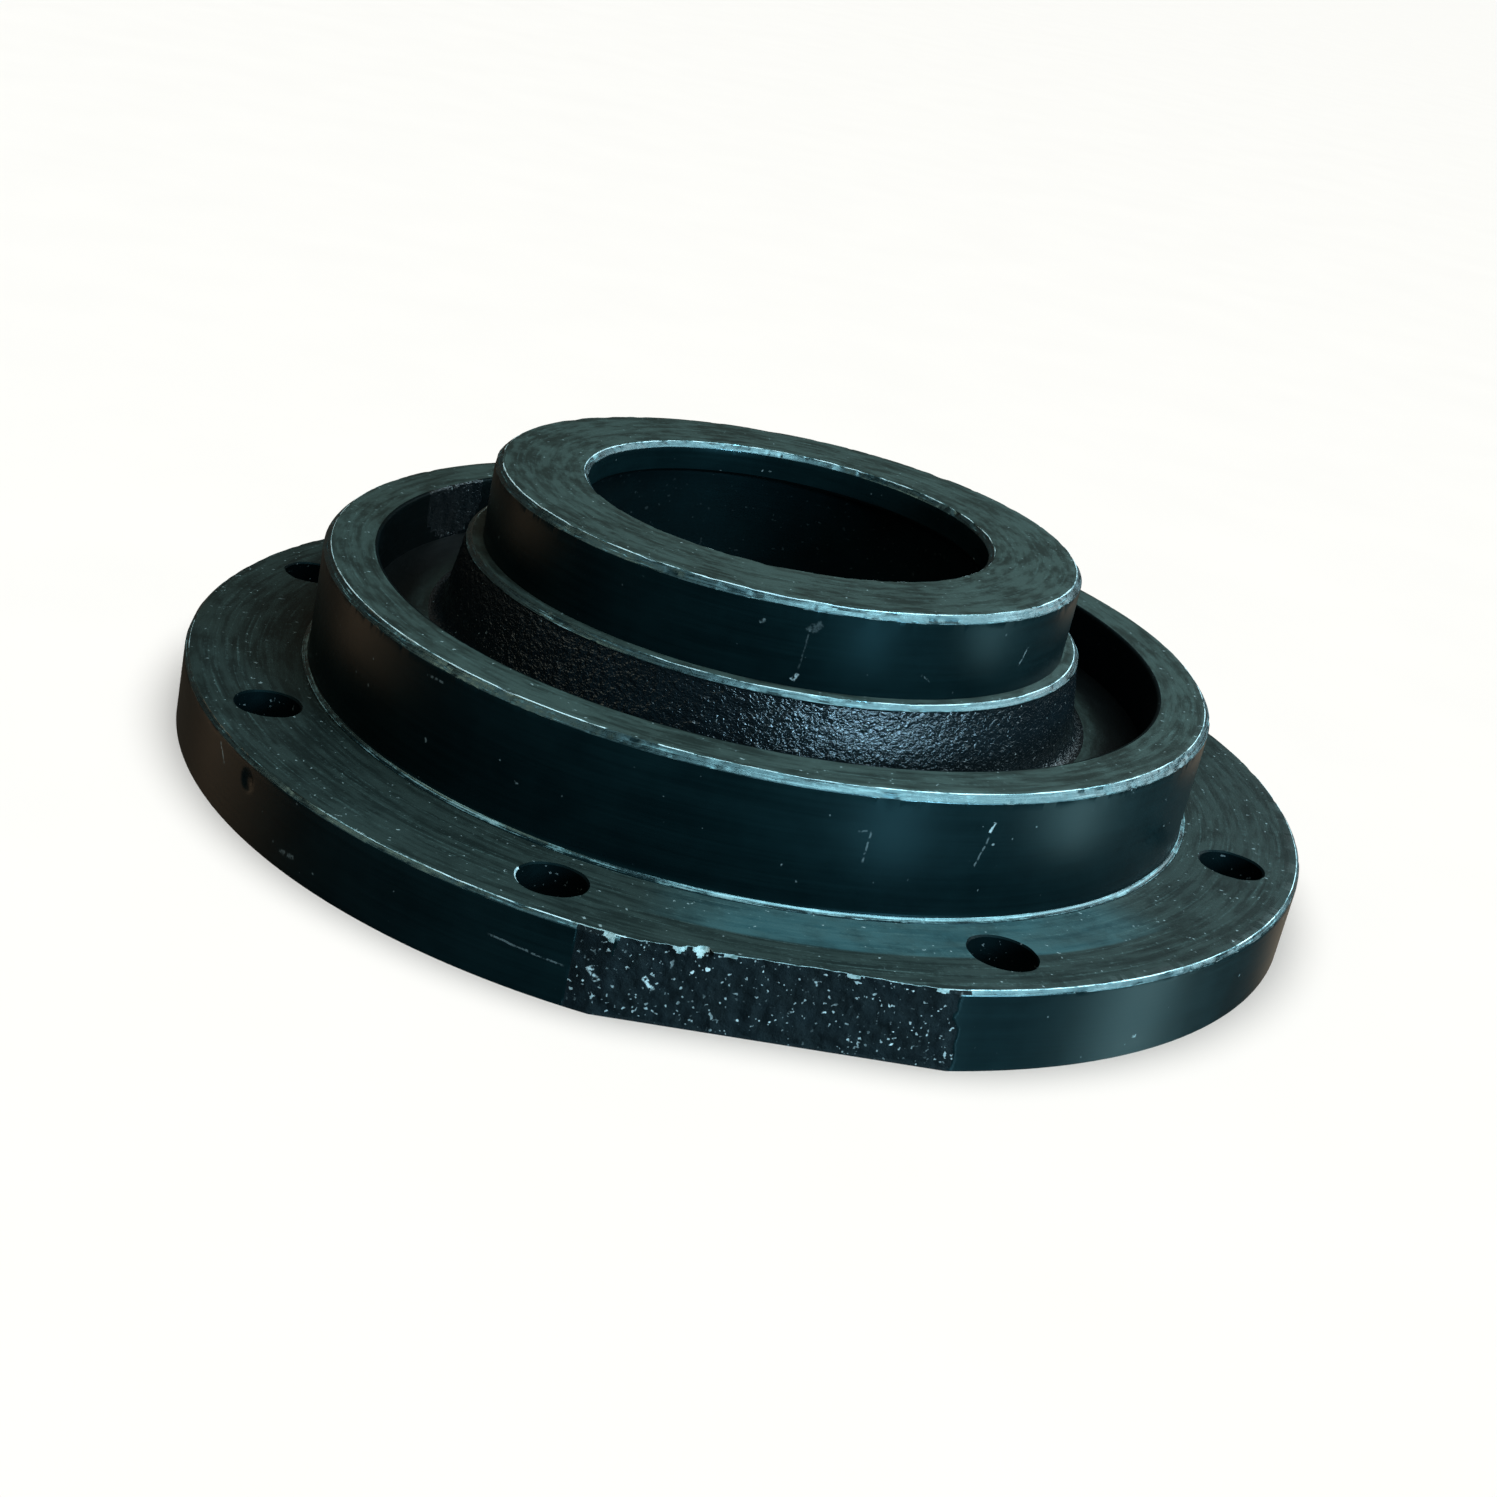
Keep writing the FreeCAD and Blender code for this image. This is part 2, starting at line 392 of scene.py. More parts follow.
    def strokes(self, marks):
        """Several wall strokes, each scaled by its own strength."""
        total = 0.0
        for strength, mark in marks:
            stroke = self.math("MULTIPLY", self.wall_stroke(*mark), strength)
            total = self.math("ADD", stroke, total)
        return total

    def sector(self, azimuth, half_width, low_radius, high_radius):
        """1 in a sector of a ring, with soft ends, centred on an azimuth."""
        turn = math.radians(FLAT_ANGLE + azimuth)
        facing = self.math("ADD", self.math("MULTIPLY", self.east, math.cos(turn)),
                           self.math("MULTIPLY", self.north, math.sin(turn)))
        ends = [math.cos(math.radians(share * half_width)) for share in (1.0, 0.6)]
        within = self.math("MULTIPLY", self.rise(self.radius, low_radius - 1.0, low_radius),
                           self.rise(self.radius, high_radius + 1.0, high_radius))
        return self.math("MULTIPLY", self.rise(facing, *ends), within)

    def rise(self, value, low, high, low_out=0.0, high_out=1.0):
        """A smooth change between two outputs as the value goes from low to high."""
        node = self.add("ShaderNodeMapRange", interpolation_type="SMOOTHSTEP", clamp=True)
        for key, number in (("Value", value), ("From Min", low), ("From Max", high),
                            ("To Min", low_out), ("To Max", high_out)):
            self.feed(node.inputs[key], number)
        return node.outputs["Result"]

    def tool_marks(self, pitch, arc, profile=None):
        """Noise drawn out round the axis, as a lathe tool leaves it, this many mm apart."""
        around = self.vector("SCALE", self.join(self.east, self.north, 0.0), scale=60.0 / arc)
        x, y, _ = self.split(around)
        across = self.math("DIVIDE", profile or self.profile, pitch)
        return self.noise(1.0, self.join(x, y, across), detail=3.0, roughness=0.6)

    def mix_colour(self, share, first, second):
        """A colour that goes from the first to the second as the share goes from 0 to 1."""
        node = self.add("ShaderNodeMix", data_type="RGBA")
        self.feed(node.inputs["Factor"], share)
        self.feed(node.inputs["A"], first)
        self.feed(node.inputs["B"], second)
        return next(socket for socket in node.outputs if socket.type == "RGBA")

    def mix_value(self, share, first, second):
        """A number that goes from the first to the second as the share goes from 0 to 1."""
        change = self.math("SUBTRACT", second, first)
        return self.math("ADD", first, self.math("MULTIPLY", share, change))

    def bump(self, relief, distance):
        """A bump whose relief from 0 to 1 stands for this many millimetres."""
        node = self.add("ShaderNodeBump")
        self.feed(node.inputs["Height"], relief)
        self.feed(node.inputs["Distance"], distance * MM)
        self.feed(self.shader.inputs["Normal"], node.outputs["Normal"])

    def done(self, base, rough, specular, tint=(1.0, 1.0, 1.0, 1.0)):
        """The finished material, with the tint of its sheen."""
        self.feed(self.shader.inputs["Base Color"], base)
        self.feed(self.shader.inputs["Roughness"], rough)
        self.shader.inputs["Specular IOR Level"].default_value = specular
        self.shader.inputs["Specular Tint"].default_value = tint
        return self.material


def colour(red, green, blue):
    """An opaque colour from its linear parts."""
    return (red, green, blue, 1.0)


COATED = colour(0.0005, 0.0024, 0.0030)
COATED_THIN = colour(0.0012, 0.0048, 0.0058)
FACE_DARK = colour(0.0065, 0.0115, 0.0105)
FACE_LIGHT = colour(0.0180, 0.0320, 0.0300)
# a brighter blue-green laid on the plate's front as a painted sheen
FACE_PAINTED_SHEEN = colour(0.014, 0.062, 0.078)
RUBBED = colour(0.045, 0.085, 0.085)
RUBBED_EDGE = colour(0.045, 0.105, 0.115)
BARE_IRON = colour(0.30, 0.42, 0.45)
SAND_BLACK = colour(0.0010, 0.0020, 0.0025)
SAND_OILED = colour(0.0022, 0.0050, 0.0068)
# near black: the rim flat's and the bores' own dark, and painted shade on the groove floor
SOOT_AND_SHADE = colour(0.0003, 0.0006, 0.0007)
TEAL_SHEEN = colour(0.15, 0.50, 0.60)
CYAN_SHEEN = colour(0.62, 0.93, 1.0)
EDGE_SHEEN = colour(0.42, 0.86, 1.0)
BLUE_SHEEN = colour(0.66, 0.88, 1.0)

# the dark film on the top of the plate: how thick, and the sector where it gives way to a
# brighter blue-green painted sheen, with the azimuth, half width in degrees, and lowest and
# highest radius of that sector
PLATE_FILM = 0.45
PLATE_PAINTED_SHEEN = (16.0, 31.0, 98.0, 112.0)

# how much brighter or duller the scraped corners are along a stretch: the change, then the
# azimuth, half width in degrees, and lowest and highest radius of the stretch
EDGE_STRETCHES = [
    (0.20, (-33.0, 12.0, 90.0, 99.0)),
    (-0.30, (-19.5, 3.5, 90.0, 99.0)),
    (0.10, (-75.0, 22.0, 60.0, 64.9)),
    (0.07, (-14.0, 9.0, 60.0, 64.9)),
    (-0.16, (-60.0, 42.0, 66.5, 72.0)),
    (-0.12, (-85.0, 45.0, 120.0, 126.0)),
]

# scratches on the turned walls: strength, then azimuth, wall radius, height, length, width and
# tilt from level
WALL_MARKS = [
    (0.04, (-0.4, NOSE, 55.5, 9.0, 0.35, 86.0)),
    (0.05, (0.6, NOSE, 60.2, 3.6, 1.8, 40.0)),
    (0.45, (-0.9, NOSE, 49.6, 2.0, 0.9, 64.0)),
    (0.12, (-8.4, NOSE, 59.5, 1.4, 0.7, 25.0)),
    (0.16, (23.0, NOSE, 52.0, 3.0, 0.4, -30.0)),
    (0.14, (46.5, NOSE, 55.0, 4.6, 0.4, 62.0)),
    (0.10, (8.1, RING_OUTER, 31.0, 7.0, 0.4, 88.0)),
    (0.07, (7.2, RING_OUTER, 34.0, 2.0, 0.4, 8.0)),
    (0.45, (22.4, RING_OUTER, 36.2, 2.4, 0.8, 74.0)),
    (0.09, (21.8, RING_OUTER, 31.0, 7.0, 0.45, 74.0)),
    (0.10, (-21.5, PLATE_RADIUS, 8.4, 16.0, 0.4, -4.0)),
    (0.22, (-60.4, PLATE_RADIUS, 12.6, 5.0, 0.5, -48.0)),
    (0.12, (-47.4, PLATE_RADIUS, 4.0, 5.0, 1.1, 6.0)),
    (0.12, (-45.0, RING_OUTER, 38.6, 5.0, 0.5, 4.0)),
    (0.30, (34.6, PLATE_RADIUS, 4.0, 1.2, 0.8, 0.0)),
]

# bright flakes on the rim flat: x, height and lean from level
FLAKES = [(-23.4, 8.0, -48.0), (-33.4, 8.0, -52.0)]


def face_skin(name, painted_shade_from=None, cleaned=None):
    """Grey-green turned metal with round tool marks and darker worn patches, which may darken with
    painted shade beyond a radius, or have a dark film that gives way in one sector to a brighter
    blue-green painted sheen."""
    skin = Shading(name)
    marks = skin.tool_marks(pitch=0.6, arc=16.0)
    patches = skin.rise(skin.tool_marks(pitch=1.7, arc=8.0), 0.34, 0.66)
    cloud = skin.noise(16.0, detail=5.0, roughness=0.65)
    grit = skin.noise(1.0, detail=3.0, roughness=0.75)
    shade = skin.mix_value(0.28, cloud, patches)
    base = skin.mix_colour(skin.rise(shade, 0.28, 0.68), FACE_DARK, FACE_LIGHT)
    # in the cleaned sector the film is left off and a brighter blue-green is laid on: a painted
    # sheen
    if cleaned is not None:
        uneven = skin.rise(cloud, 0.32, 0.60, 0.45, 1.0)
        clean = skin.math("MULTIPLY", skin.sector(*cleaned), uneven)
        film = skin.rise(clean, 0.0, 1.0, PLATE_FILM, 0.0)
        base = skin.mix_colour(film, base, COATED)
        base = skin.mix_colour(skin.math("MULTIPLY", clean, 0.45), base, FACE_PAINTED_SHEEN)
    rubbed = skin.rise(skin.math("ADD", skin.math("MULTIPLY", marks, 0.6),
                                 skin.math("MULTIPLY", grit, 0.4)), 0.52, 0.74)
    base = skin.mix_colour(skin.math("MULTIPLY", rubbed, 0.45), base, RUBBED)
    base = skin.mix_colour(skin.math("MULTIPLY", skin.flecks(1.0, 0.76), 0.30), base, BARE_IRON)
    # painted shade: the face darkens beyond this radius, as shade falls deeper in the groove
    if painted_shade_from is not None:
        edge = skin.math("ADD", skin.radius, skin.math("MULTIPLY", cloud, 6.0))
        base = skin.mix_colour(skin.rise(edge, painted_shade_from, painted_shade_from + 8.0), base, SOOT_AND_SHADE)
    rough = skin.mix_value(shade, 0.42, 0.58)
    skin.bump(skin.mix_value(0.5, marks, grit), 0.05)
    return skin.done(base, rough, specular=0.16, tint=CYAN_SHEEN)


def turned_face():
    """The flat turned faces."""
    return face_skin("turned_face")


def plate_face():
    """The top of the plate, with a darker film than the other faces except in front, where a
    brighter blue-green painted sheen lies instead.
    """
    return face_skin("plate_face", cleaned=PLATE_PAINTED_SHEEN)


def groove_floor():
    """The floor of the groove, darkened by painted shade away from the neck."""
    return face_skin("groove_floor", painted_shade_from=NECK_FOOT + 3.5)


def turned_wall():
    """The turned outer walls: smoother and darker, with faint lines round the axis."""
    skin = Shading("turned_wall")
    marks = skin.tool_marks(pitch=0.9, arc=26.0)
    cloud = skin.noise(13.0, detail=3.0, roughness=0.6)
    shade = skin.mix_value(0.45, cloud, marks)
    base = skin.mix_colour(skin.rise(shade, 0.3, 0.72), COATED, COATED_THIN)
    base = skin.mix_colour(skin.math("MULTIPLY", skin.flecks(1.6, 0.80), 0.22), base, BARE_IRON)
    scratched = skin.strokes(WALL_MARKS)
    base = skin.mix_colour(scratched, base, BARE_IRON)
    rough = skin.mix_value(shade, 0.27, 0.42)
    skin.bump(skin.math("SUBTRACT", marks, scratched), 0.02)
    return skin.done(base, rough, specular=0.05, tint=TEAL_SHEEN)


def scraped_skin(name, under, bright_from, bare_share, sheen, roughest=0.55, stretches=()):
    """A smooth dark coating, scraped along the edge in broken bright lines, which may be
    brighter or duller along some stretches."""
    skin = Shading(name)
    streaks = skin.tool_marks(pitch=0.30, arc=9.0, profile=skin.edge_profile)
    pits = skin.noise(1.1, detail=3.0, roughness=0.7)
    patch = skin.noise(7.0, detail=3.0, roughness=0.6)
    scraped = skin.mix_value(0.3, skin.mix_value(0.25, streaks, pits), patch)
    for change, stretch in stretches:
        changed = skin.math("MULTIPLY", skin.sector(*stretch), change)
        scraped = skin.math("ADD", scraped, changed)
    bright = skin.rise(scraped, bright_from, bright_from + 0.07)
    bare = skin.rise(scraped, bright_from + 0.04, bright_from + 0.11)
    base = skin.mix_colour(bright, under, RUBBED_EDGE)
    base = skin.mix_colour(skin.math("MULTIPLY", bare, bare_share), base, BARE_IRON)
    rough = skin.rise(skin.mix_value(0.35, streaks, pits), 0.36, 0.62, 0.20, roughest)
    skin.bump(skin.mix_value(0.35, streaks, pits), 0.10)
    return skin.done(base, rough, specular=sheen, tint=EDGE_SHEEN)


def worn_edge():
    """The chamfers: dark and glossy, with a few scrapes."""
    return scraped_skin("worn_edge", COATED_THIN, 0.56, 0.4, 0.85)


def edge_line():
    """The corners of the chamfers, knocked bright in broken lines."""
    return scraped_skin("edge_line", FACE_DARK, 0.41, 0.95, 0.9, roughest=0.45,
                        stretches=EDGE_STRETCHES)


def foot_line():
    """The rounded foot of the ring: a dark coating with bright scraped streaks, partly rubbed wear
    and partly a painted highlight along the foot, under a strong sheen.
    """
    return scraped_skin("foot_line", COATED_THIN, 0.50, 0.25, 1.0, roughest=0.40)


def cast_skin():
    """The sand-cast skin of the neck: black and pebbled, with an oily sheen."""
    skin = Shading("cast_skin")
    x, y, _ = skin.split(skin.point)
    low_bumps = skin.join(x, y, skin.math("MULTIPLY", skin.height, 1.25))
    fine = skin.noise(0.55, low_bumps, detail=2.0, roughness=0.5, distortion=0.3)
    pebbles = skin.noise(1.2, low_bumps, detail=2.0, roughness=0.5, distortion=0.4)
    cloud = skin.noise(7.0, detail=3.0)
    base = skin.mix_colour(cloud, SAND_BLACK, SAND_OILED)
    base = skin.mix_colour(skin.math("MULTIPLY", skin.flecks(0.9, 0.77), 0.4), base, BARE_IRON)
    rough = skin.mix_value(fine, 0.15, 0.26)
    skin.bump(skin.mix_value(0.55, fine, pebbles), 0.50)
    return skin.done(base, rough, specular=0.45, tint=BLUE_SHEEN)


def flat_skin():
    """The rim flat: torn and dry, with many small bright grains broken open."""
    skin = Shading("flat_skin")
    fine = skin.noise(0.8, detail=4.0, roughness=0.7)
    small = skin.math("MULTIPLY", skin.flecks(0.85, 0.69), 0.5)
    crowd = skin.rise(skin.noise(5.0, detail=2.0), 0.38, 0.58, 0.08, 0.75)
    grains = skin.math("MULTIPLY", skin.math("MAXIMUM", small, skin.flecks(1.35, 0.735)), crowd)
    for east, height, lean in FLAKES:
        spot = Vector((east, -FLAT_AT_TOP, height))
        run = Vector((math.cos(math.radians(lean)), 0.0, math.sin(math.radians(lean))))
        flake = skin.stroke(spot, run, out=Vector((0.0, -1.0, 0.0)), length=3.4, width=1.0)
        grains = skin.math("MAXIMUM", grains, skin.math("MULTIPLY", flake, 0.6))
    base = skin.mix_colour(skin.noise(4.0, detail=3.0), SOOT_AND_SHADE, SAND_OILED)
    base = skin.mix_colour(grains, base, BARE_IRON)
    rough = skin.mix_value(fine, 0.45, 0.75)
    skin.bump(fine, 0.25)
    return skin.done(base, rough, specular=0.06, tint=CYAN_SHEEN)


def chipped():
    """The fresh chips along the top of the rim flat: pale open metal."""
    skin = Shading("chipped")
    facets = skin.noise(0.9, detail=3.0, roughness=0.7)
    open_metal = skin.rise(facets, 0.35, 0.6, 0.0, 0.35)
    base = skin.mix_colour(open_metal, RUBBED, BARE_IRON)
    rough = skin.mix_value(facets, 0.4, 0.6)
    skin.bump(facets, 0.15)
    return skin.done(base, rough, specular=0.4, tint=CYAN_SHEEN)


def bored_skin(name, open_grains):
    """A near-black, dull wall, darker than the turned walls, with this much brightness in its open
    grains.
    """
    skin = Shading(name)
    marks = skin.tool_marks(pitch=0.9, arc=12.0)
    base = skin.mix_colour(skin.noise(5.0, detail=3.0), SOOT_AND_SHADE, COATED)
    grains = skin.math("MULTIPLY", skin.flecks(1.0, 0.72), open_grains)
    base = skin.mix_colour(grains, base, BARE_IRON)
    rough = skin.mix_value(marks, 0.45, 0.65)
    skin.bump(marks, 0.04)
    return skin.done(base, rough, specular=0.08, tint=TEAL_SHEEN)


def bored_wall():
    """The bore, the groove and the hidden joints."""
    return bored_skin("bored_wall", 0.02)


def drilled_wall():
    """The walls of the bolt holes."""
    return bored_skin("drilled_wall", 0.15)


makers = [turned_face, plate_face, groove_floor, turned_wall, worn_edge, edge_line, foot_line,
          cast_skin, flat_skin, chipped, bored_wall, drilled_wall]
materials = {maker.__name__: maker() for maker in makers}


# ---------------------------------------------------------------- pieces

def rows_with(outline, *skins):
    """How strongly each row of an outline belongs to some skins: 1 inside, a half at the ends."""
    found = {}
    for row in range(len(outline.points)):
        share = sum(outline.skins[beside] in skins for beside in (row - 1, row)) / 2.0
        if share:
            found[row] = share
    return found


def wear_edges(outline, angle, radius, height, depth, deepest, seed):
    """Nicks in the worn rows, drawn out along the edge and cut in the direction of the metal."""
    bite = np.zeros(angle.shape)
    for row, share in rows_with(outline, "worn_edge", "edge_line").items():
        across = radius[row] - height[row]
        long_way = place(angle[row], radius[row] / 4.0, across / 1.5)
        nick = ease(0.10, 0.90, grain(long_way, 1.0, seed))
        notch = ease(0.30, 0.90, grain(long_way * 2.6, 1.0, seed + 7))
        groove = 1.0 + grain(place(angle[row], radius[row] / 5.0, across / 0.55), 1.0, seed + 3)
        bite[row] = share * (deepest * (nick + 0.4 * notch) + 0.05 * groove)
    return radius + bite * depth[:, :1], height + bite * depth[:, 1:]


def roughen(outline, skin, angle, radius, height, depth, relief):
    """Sink the rows of a skin into the metal by a relief given for each point."""
    sunk = np.zeros(angle.shape)
    for row, share in rows_with(outline, skin).items():
        points = place(angle[row], radius[row], height[row])
        sunk[row] = share * np.maximum(relief(points), 0.0)
    return radius + sunk * depth[:, :1], height + sunk * depth[:, 1:]


def make_nose():
    """The turned nose with its lipped mouth."""
    outline = Outline(SEAT, REGISTER_FLOOR)
    outline.to(REGISTER, REGISTER_FLOOR, "bored_wall")
    outline.to(REGISTER, NECK_TOP, "bored_wall")
    outline.to(NOSE, NECK_TOP, "bored_wall")
    outline.chamfer((NOSE, NOSE_TOP - EDGE), (NOSE - EDGE, NOSE_TOP), (LIP, NOSE_TOP),
                    "turned_wall", 10)
    outline.chamfer((LIP + MOUTH_EDGE, NOSE_TOP), (LIP, NOSE_TOP - MOUTH_EDGE),
                    (LIP, LIP_UNDERSIDE), "turned_face", 8, corners=("edge_line", "worn_edge"))
    outline.to(LIP, LIP_UNDERSIDE + INNER_EDGE, "turned_wall", rows=4)
    outline.to(LIP + INNER_EDGE, LIP_UNDERSIDE, "bored_wall", rows=2)
    outline.to(SEAT, LIP_UNDERSIDE, "bored_wall")
    outline.close("bored_wall", rows=6)

    def shape(angle, radius, height, depth):
        return wear_edges(outline, angle, radius, height, depth, TOP_NICKS, 11)

    skins = ["turned_wall", "worn_edge", "edge_line", "turned_face", "bored_wall"]
    mesh = turned_mesh("nose", outline, even_angles(NOSE_STEPS), skins, shape)
    return finish_piece("turned_nose", mesh, "nose_ring")


def make_hub():
    """The cast hub: drafted rough neck, groove floor and ledge."""
    draft = math.atan2(NECK_FOOT - NECK_SHOULDER, NECK_TOP - GROOVE_FLOOR)
    fillet_end = 180.0 + math.degrees(draft)
    centre_height = GROOVE_FLOOR + NECK_FILLET
    foot_at_centre = NECK_FOOT - NECK_FILLET * math.tan(draft)
    centre_radius = foot_at_centre + NECK_FILLET / math.cos(draft)
    ledge_radius = NECK_SHOULDER + LEDGE_EDGE * math.tan(draft)
    outline = Outline(SEAT + INNER_EDGE, 0.0)
    outline.to(HUB_OPENING, 0.0, "turned_face")
    outline.to(HUB_OPENING, SEAT_FLOOR, "bored_wall")
    outline.to(RING_INNER, SEAT_FLOOR, "bored_wall")
    outline.to(RING_INNER, GROOVE_FLOOR, "bored_wall")
    outline.to(centre_radius, GROOVE_FLOOR, "groove_floor", rows=5)
    outline.around(centre_radius, centre_height, NECK_FILLET, 270.0, fillet_end, "cast_skin", 9)
    outline.chamfer((ledge_radius, NECK_TOP - LEDGE_EDGE), (NECK_SHOULDER - LEDGE_EDGE, NECK_TOP),
                    (REGISTER, NECK_TOP), "cast_skin", 36, across=2)
    outline.to(REGISTER, NECK_TOP, "turned_face", rows=3)
    outline.to(REGISTER, REGISTER_FLOOR, "bored_wall")
    outline.to(SEAT, REGISTER_FLOOR, "bored_wall")
    outline.to(SEAT, INNER_EDGE, "bored_wall", rows=8)
    outline.close("bored_wall")

    def pebbled(points):
        ridges = np.abs(layered(points * (1.0, 1.0, 1.2), 1.6, 31, layers=2))
        return 0.28 - 0.22 * ridges + 0.05 * grain(points, 9.0, 41)

    def shape(angle, radius, height, depth):
        radius, height = roughen(outline, "cast_skin", angle, radius, height, depth, pebbled)
        return wear_edges(outline, angle, radius, height, depth, LEDGE_NICKS, 21)

    skins = ["cast_skin", "turned_face", "groove_floor", "worn_edge", "edge_line", "bored_wall"]
    mesh = turned_mesh("hub", outline, even_angles(HUB_STEPS), skins, shape)
    return finish_piece("rough_hub", mesh, "cast_hub")


def make_ring():
    """The pilot ring: chamfered top, filleted foot and, inside on the left, a rough patch."""
    outline = Outline(RING_INNER, SEAT_FLOOR)
    fillet_centre = RING_OUTER + RING_FOOT
    fillet_base = PLATE_TOP + FOOT_LAND
    fillet_height = fillet_base + RING_FOOT
    outline.to(RING_FOOT_EDGE, SEAT_FLOOR, "bored_wall")
    outline.to(RING_FOOT_EDGE, PLATE_TOP, "bored_wall")
    outline.to(RING_FOOT_EDGE, fillet_base, "worn_edge")
    outline.to(fillet_centre, fillet_base, "foot_line")
    outline.around(fillet_centre, fillet_height, RING_FOOT, 270.0, 216.0, "foot_line", 4)
    outline.around(fillet_centre, fillet_height, RING_FOOT, 216.0, 180.0, "turned_wall", 3)
    outline.chamfer((RING_OUTER, RING_TOP - EDGE), (RING_OUTER - EDGE, RING_TOP),
                    (RING_INNER, RING_TOP), "turned_wall", 14)
    outline.to(RING_INNER + INNER_EDGE, RING_TOP, "turned_face", rows=6)
    outline.bend(Vector((RING_INNER, RING_TOP)), Vector((RING_INNER, RING_TOP - INNER_EDGE)),
                 "bored_wall", rows=4)
    outline.close("bored_wall", rows=16)
    patch_centre = wall_point(PATCH_AZIMUTH, RING_INNER, PATCH_HEIGHT)

    def patch(points):
        near = 1.0 - ease(0.5, 1.0, np.linalg.norm((points - patch_centre) / PATCH_REACH, axis=-1))
        return near * 0.30 * (1.0 + layered(points, 1.8, 57, layers=2))

    def shape(angle, radius, height, depth):
        radius, height = roughen(outline, "bored_wall", angle, radius, height, depth, patch)
        return wear_edges(outline, angle, radius, height, depth, TOP_NICKS, 51)

    skins = ["turned_wall", "worn_edge", "edge_line", "foot_line", "turned_face", "bored_wall",
             "cast_skin"]
    mesh = turned_mesh("ring", outline, even_angles(RING_STEPS), skins, shape)
    mark_patch(mesh, skins, patch_centre)
    return finish_piece("raised_ring", mesh, "pilot_ring")


def mark_patch(mesh, skins, patch_centre):
    """Give the faces on the rough patch the cast skin, within an uneven border."""
    count = len(mesh.polygons)
    spots, index = np.empty(count * 3), np.empty(count, np.int32)
    mesh.polygons.foreach_get("center", spots)
    mesh.polygons.foreach_get("material_index", index)
    spots = spots.reshape(-1, 3) / MM
    reach = PATCH_REACH * (0.80 + 0.15 * grain(spots, 4.0, 59))
    inside = np.linalg.norm(spots - patch_centre, axis=-1) < reach
    index[inside & (index == skins.index("bored_wall"))] = skins.index("cast_skin")
    mesh.polygons.foreach_set("material_index", index)


def plate_angles():
    """Angles round the plate, closer together across the rim flat."""
    half = math.radians(FLAT_SPREAD)
    start = math.radians(FLAT_ANGLE)
    fine = np.linspace(start - half, start + half, FLAT_STEPS, endpoint=False)
    coarse = np.linspace(start + half, start - half + 2.0 * math.pi, RIM_STEPS, endpoint=False)
    return np.concatenate([fine, coarse])


def flat_end(east):
    """1 on the stretch of rim past the left end of the flat that is torn as well."""
    torn_from = -FLAT_HALF_WIDTH - TORN_PAST_END
    return ease(torn_from, torn_from + 0.4, east) * (east < -FLAT_HALF_WIDTH + 2.0)


def make_plate():
    """The flange plate: rim, rough flat and drilled holes."""
    outline = Outline(HUB_OPENING, 0.0)
    outline.to(PLATE_RADIUS, 0.0, "turned_face", rows=3)
    outline.chamfer((PLATE_RADIUS, PLATE_TOP - RIM_EDGE), (PLATE_RADIUS - RIM_EDGE, PLATE_TOP),
                    (RING_FOOT_EDGE, PLATE_TOP), "turned_wall", 34, across=1)
    outline.to(RING_FOOT_EDGE, PLATE_TOP, "plate_face", rows=9)
    outline.to(RING_FOOT_EDGE, SEAT_FLOOR, "bored_wall")
    outline.to(HUB_OPENING, SEAT_FLOOR, "bored_wall")
    outline.close("bored_wall")
    dent_centre = wall_point(DENT_AZIMUTH, PLATE_RADIUS, DENT_HEIGHT)

    def dent(points):
        away = np.linalg.norm(points - dent_centre, axis=-1) / DENT_REACH
        return DENT_DEPTH * (1.0 - ease(0.3, 1.0, away))

    def shape(angle, radius, height, depth):
        radius, height = roughen(outline, "turned_wall", angle, radius, height, depth, dent)
        radius, height = wear_edges(outline, angle, radius, height, depth, RIM_NICKS, 61)
        turn = angle - math.radians(FLAT_ANGLE)
        turn = np.arctan2(np.sin(turn), np.cos(turn))
        near = np.clip(turn, -1.0, 1.0)
        drafted = FLAT_AT_UNDERSIDE + (FLAT_AT_TOP - FLAT_AT_UNDERSIDE) * height / PLATE_TOP
        points = place(angle, PLATE_RADIUS, height)
        torn = 0.30 + 0.28 * layered(points, 2.2, 71) + 0.20 * grain(points, 7.0, 81)
        top = ease(PLATE_TOP - 1.6, PLATE_TOP, height)
        chips = CHIP_DEPTH * ease(0.45, 0.9, grain(points * (1.0, 1.0, 0.0), 4.5, 85))
        big_chip = BIG_CHIP_DEPTH * ease(BIG_CHIP_REACH, 0.9, np.abs(points[..., 0] - BIG_CHIP))
        knocked = np.maximum(chips, big_chip)
        sunk = np.clip(torn, 0.0, 1.0) * ease(0.0, 0.6, height) + top * knocked
        reach = np.where(np.abs(turn) < 1.0, (drafted - sunk) / np.cos(near), 2.0 * PLATE_RADIUS)
        past_end = flat_end(points[..., 0]) * (radius > PLATE_RADIUS - 3.0)
        return np.minimum(radius - past_end * 0.6 * sunk, reach), height

    skins = ["turned_wall", "worn_edge", "edge_line", "turned_face", "plate_face", "bored_wall",
             "drilled_wall", "flat_skin", "chipped"]
    mesh = turned_mesh("plate", outline, plate_angles(), skins, shape)
    mark_flat(mesh, skins)
    mesh = drill(mesh, skins)
    return finish_piece("drilled_plate", mesh, "flange_plate")


